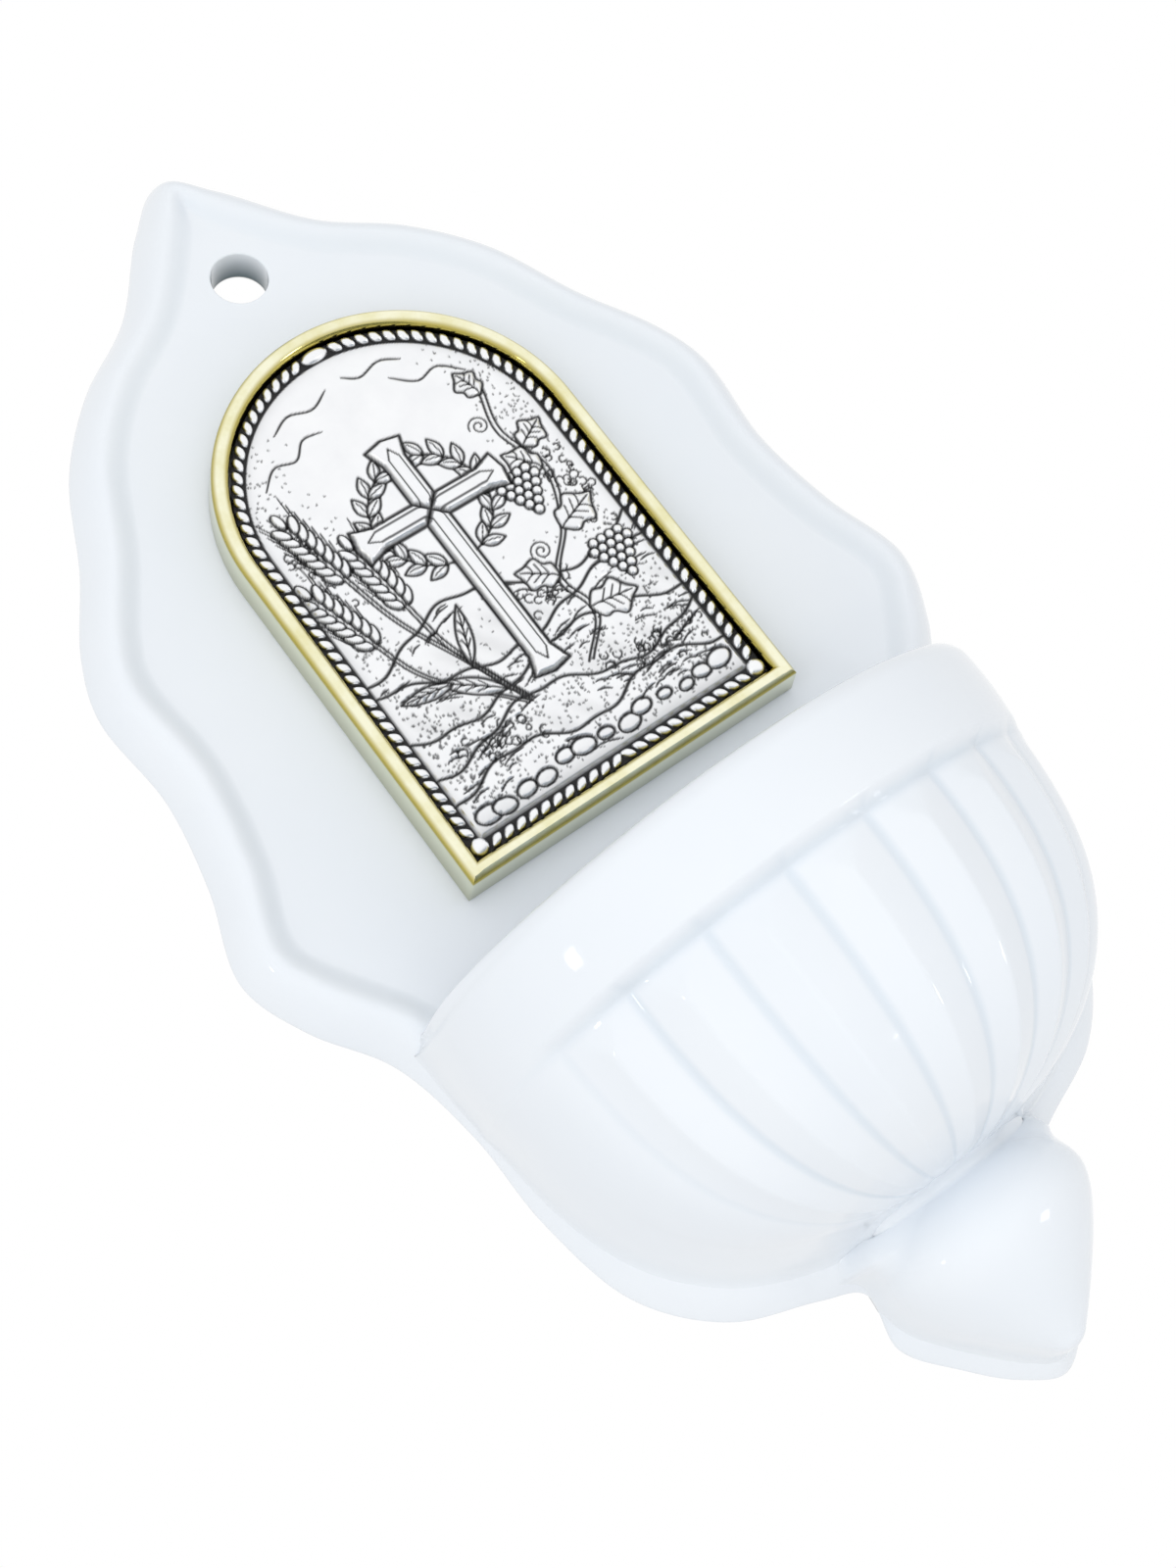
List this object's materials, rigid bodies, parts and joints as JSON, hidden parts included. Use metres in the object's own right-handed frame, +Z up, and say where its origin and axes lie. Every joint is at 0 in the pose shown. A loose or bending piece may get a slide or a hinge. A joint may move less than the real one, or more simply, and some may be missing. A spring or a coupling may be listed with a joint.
{
  "type": "holy water stoup",
  "caption": "White glazed ceramic wall stoup: scalloped plate with a hanging hole, fluted half-round bowl with a bud below, and an arched silver relief plaque in a gold frame.",
  "frame": {"origin": "on the flat back of the plate, on its centre line at half the height of the stoup", "axes": "+Y out of the back into the wall, +Z up, the bowl and the plaque face -Y"},
  "size_m": [0.083, 0.039, 0.1518],
  "materials": {
    "white_glaze": "gloss",
    "gilt_metal": "polished",
    "antique_silver": "satin with darkened hollows",
    "fibreboard": "matte",
    "foam_tape": "matte"
  },
  "bodies": {
    "root": {"back_plate": "white_glaze", "bowl": "white_glaze", "bud": "white_glaze", "plaque_frame": "gilt_metal", "relief_sheet": "antique_silver", "plaque_core": "fibreboard", "adhesive_pad": "foam_tape"}
  },
  "joints": []
}
